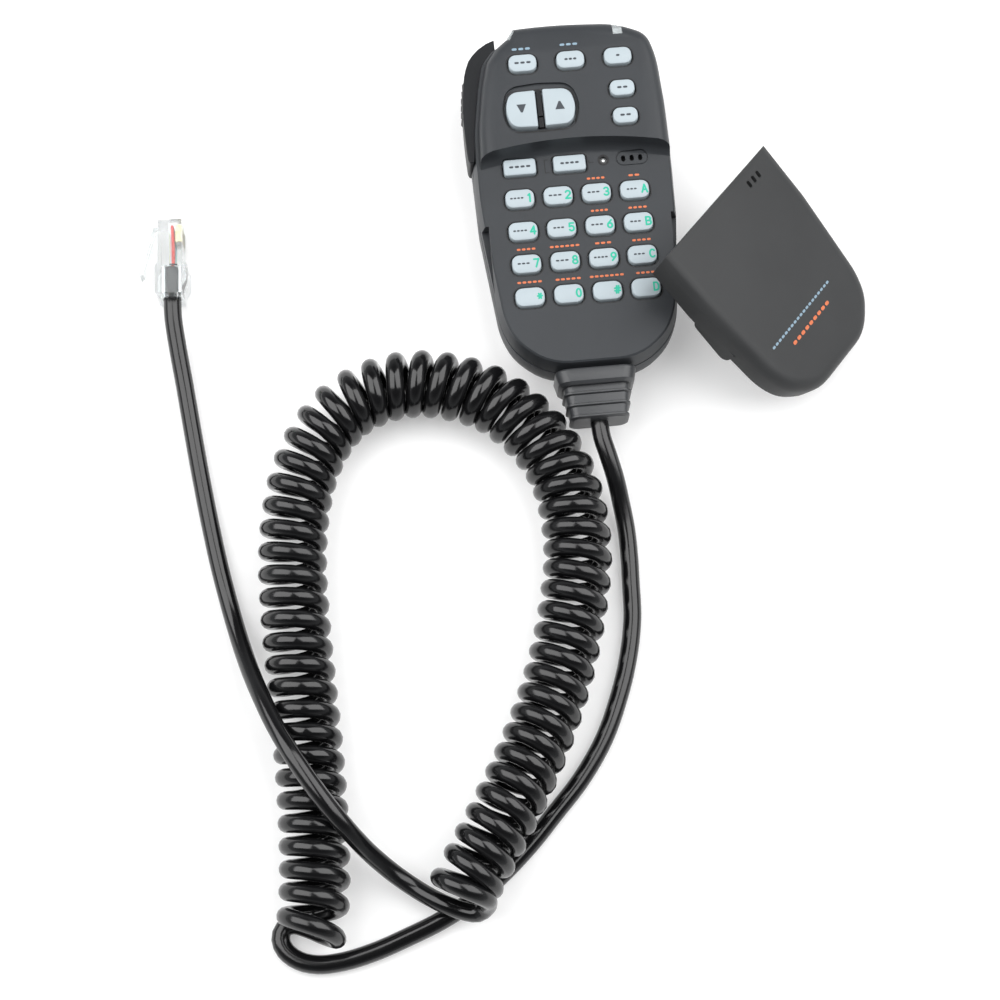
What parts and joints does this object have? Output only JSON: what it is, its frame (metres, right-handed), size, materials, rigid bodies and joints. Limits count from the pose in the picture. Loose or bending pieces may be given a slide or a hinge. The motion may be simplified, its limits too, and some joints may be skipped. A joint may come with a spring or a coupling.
{
  "type": "hand microphone",
  "caption": "Push-to-talk hand microphone with keypad, side lever, rear hanger stud, coiled cord ending in a modular plug, and a loose keypad cover.",
  "frame": {"origin": "centre of the hanger stud's flat face, on the surface the microphone lies on", "axes": "+Z out of the keys, +Y towards the top of the microphone, +X to its right as the keys are read"},
  "size_m": [0.1991, 0.251, 0.0421],
  "materials": {
    "case_plastic": "fine textured charcoal",
    "key_plastic": "satin pale grey-blue",
    "lever_plastic": "fine textured charcoal, ribbed grip",
    "boot_rubber": "matt",
    "cord_jacket": "glossy black",
    "clear_plastic": "clear moulded",
    "lens_plastic": "clear prism",
    "gold_contact": "gold flash",
    "steel": "zinc plated",
    "board": "solder mask",
    "parts_dark": "moulded",
    "silicone": "translucent white",
    "felt": "felt",
    "wire": "insulation",
    "nylon": "natural"
  },
  "bodies": {
    "handset": {"front_case": "case_plastic", "rear_case": "case_plastic", "hanger_stud": "steel", "hanger_screw": "steel", "case_screws": "steel", "circuit_board": "board", "board_chips": "parts_dark", "dome_contacts": "steel", "backlight_leds": "silicone", "indicator_leds": "silicone", "keypad_membrane": "silicone", "microphone_capsule": "steel", "capsule_boot": "boot_rubber", "port_felt": "felt", "status_lamp": "lens_plastic", "lens_right": "lens_plastic", "lens_left": "lens_plastic", "cord_connector": "nylon", "cord_clamp": "steel", "cord_boot": "boot_rubber", "ptt_switch": "parts_dark", "ptt_pivot_pin": "steel", "ptt_spring": "steel", "rocker_bar": "case_plastic", "cord_lead_handset": "cord_jacket", "cord_coil": "cord_jacket", "cord_lead_plug": "cord_jacket", "plug_body": "clear_plastic", "plug_contacts": "gold_contact", "plug_jacket": "cord_jacket", "plug_wires": "wire"},
    "key_mode_cap": {"key_mode": "key_plastic"},
    "key_memory_cap": {"key_memory": "key_plastic"},
    "key_backlight_cap": {"key_backlight": "key_plastic"},
    "key_f1_cap": {"key_f1": "key_plastic"},
    "key_f2_cap": {"key_f2": "key_plastic"},
    "key_down_cap": {"key_down": "key_plastic"},
    "key_up_cap": {"key_up": "key_plastic"},
    "key_tone_cap": {"key_tone": "key_plastic"},
    "key_function_cap": {"key_function": "key_plastic"},
    "key_1_cap": {"key_1": "key_plastic"},
    "key_2_cap": {"key_2": "key_plastic"},
    "key_3_cap": {"key_3": "key_plastic"},
    "key_a_cap": {"key_a": "key_plastic"},
    "key_4_cap": {"key_4": "key_plastic"},
    "key_5_cap": {"key_5": "key_plastic"},
    "key_6_cap": {"key_6": "key_plastic"},
    "key_b_cap": {"key_b": "key_plastic"},
    "key_7_cap": {"key_7": "key_plastic"},
    "key_8_cap": {"key_8": "key_plastic"},
    "key_9_cap": {"key_9": "key_plastic"},
    "key_c_cap": {"key_c": "key_plastic"},
    "key_star_cap": {"key_star": "key_plastic"},
    "key_0_cap": {"key_0": "key_plastic"},
    "key_hash_cap": {"key_hash": "key_plastic"},
    "key_d_cap": {"key_d": "key_plastic"},
    "lever": {"ptt_lever": "lever_plastic"},
    "latch": {"plug_latch": "clear_plastic"},
    "cover": {"cover": "case_plastic"}
  },
  "joints": [
    {"name": "key_mode_press", "type": "slide", "parent": "handset", "child": "key_mode_cap", "axis": [0, 0, -1], "range_m": [0, 0.0007], "stiffness_N_per_m": 600},
    {"name": "key_memory_press", "type": "slide", "parent": "handset", "child": "key_memory_cap", "axis": [0, 0, -1], "range_m": [0, 0.0007], "stiffness_N_per_m": 600},
    {"name": "key_backlight_press", "type": "slide", "parent": "handset", "child": "key_backlight_cap", "axis": [0, 0, -1], "range_m": [0, 0.0007], "stiffness_N_per_m": 600},
    {"name": "key_f1_press", "type": "slide", "parent": "handset", "child": "key_f1_cap", "axis": [0, 0, -1], "range_m": [0, 0.0007], "stiffness_N_per_m": 600},
    {"name": "key_f2_press", "type": "slide", "parent": "handset", "child": "key_f2_cap", "axis": [0, 0, -1], "range_m": [0, 0.0007], "stiffness_N_per_m": 600},
    {"name": "key_down_press", "type": "slide", "parent": "handset", "child": "key_down_cap", "axis": [0, 0, -1], "range_m": [0, 0.0007], "stiffness_N_per_m": 600},
    {"name": "key_up_press", "type": "slide", "parent": "handset", "child": "key_up_cap", "axis": [0, 0, -1], "range_m": [0, 0.0007], "stiffness_N_per_m": 600},
    {"name": "key_tone_press", "type": "slide", "parent": "handset", "child": "key_tone_cap", "axis": [0, 0, -1], "range_m": [0, 0.0007], "stiffness_N_per_m": 600},
    {"name": "key_function_press", "type": "slide", "parent": "handset", "child": "key_function_cap", "axis": [0, 0, -1], "range_m": [0, 0.0007], "stiffness_N_per_m": 600},
    {"name": "key_1_press", "type": "slide", "parent": "handset", "child": "key_1_cap", "axis": [0, 0, -1], "range_m": [0, 0.0007], "stiffness_N_per_m": 600},
    {"name": "key_2_press", "type": "slide", "parent": "handset", "child": "key_2_cap", "axis": [0, 0, -1], "range_m": [0, 0.0007], "stiffness_N_per_m": 600},
    {"name": "key_3_press", "type": "slide", "parent": "handset", "child": "key_3_cap", "axis": [0, 0, -1], "range_m": [0, 0.0007], "stiffness_N_per_m": 600},
    {"name": "key_a_press", "type": "slide", "parent": "handset", "child": "key_a_cap", "axis": [0, 0, -1], "range_m": [0, 0.0007], "stiffness_N_per_m": 600},
    {"name": "key_4_press", "type": "slide", "parent": "handset", "child": "key_4_cap", "axis": [0, 0, -1], "range_m": [0, 0.0007], "stiffness_N_per_m": 600},
    {"name": "key_5_press", "type": "slide", "parent": "handset", "child": "key_5_cap", "axis": [0, 0, -1], "range_m": [0, 0.0007], "stiffness_N_per_m": 600},
    {"name": "key_6_press", "type": "slide", "parent": "handset", "child": "key_6_cap", "axis": [0, 0, -1], "range_m": [0, 0.0007], "stiffness_N_per_m": 600},
    {"name": "key_b_press", "type": "slide", "parent": "handset", "child": "key_b_cap", "axis": [0, 0, -1], "range_m": [0, 0.0007], "stiffness_N_per_m": 600},
    {"name": "key_7_press", "type": "slide", "parent": "handset", "child": "key_7_cap", "axis": [0, 0, -1], "range_m": [0, 0.0007], "stiffness_N_per_m": 600},
    {"name": "key_8_press", "type": "slide", "parent": "handset", "child": "key_8_cap", "axis": [0, 0, -1], "range_m": [0, 0.0007], "stiffness_N_per_m": 600},
    {"name": "key_9_press", "type": "slide", "parent": "handset", "child": "key_9_cap", "axis": [0, 0, -1], "range_m": [0, 0.0007], "stiffness_N_per_m": 600},
    {"name": "key_c_press", "type": "slide", "parent": "handset", "child": "key_c_cap", "axis": [0, 0, -1], "range_m": [0, 0.0007], "stiffness_N_per_m": 600},
    {"name": "key_star_press", "type": "slide", "parent": "handset", "child": "key_star_cap", "axis": [0, 0, -1], "range_m": [0, 0.0007], "stiffness_N_per_m": 600},
    {"name": "key_0_press", "type": "slide", "parent": "handset", "child": "key_0_cap", "axis": [0, 0, -1], "range_m": [0, 0.0007], "stiffness_N_per_m": 600},
    {"name": "key_hash_press", "type": "slide", "parent": "handset", "child": "key_hash_cap", "axis": [0, 0, -1], "range_m": [0, 0.0007], "stiffness_N_per_m": 600},
    {"name": "key_d_press", "type": "slide", "parent": "handset", "child": "key_d_cap", "axis": [0, 0, -1], "range_m": [0, 0.0007], "stiffness_N_per_m": 600},
    {"name": "ptt_press", "type": "hinge", "parent": "handset", "child": "lever", "pos_m": [-0.0246, 0.0146, 0.015], "axis": [0, 0, -1], "range_deg": [0, 3], "stiffness_Nm_per_rad": 1.2},
    {"name": "plug_latch_squeeze", "type": "hinge", "parent": "handset", "child": "latch", "pos_m": [-0.11635, 0.0056, 0.00585], "axis": [0, 0, 1], "range_deg": [0, 10], "stiffness_Nm_per_rad": 0.3},
    {"name": "cover_lift", "type": "slide", "parent": "handset", "child": "cover", "axis": [0, 0, 1], "range_m": [0, 0.04]}
  ]
}
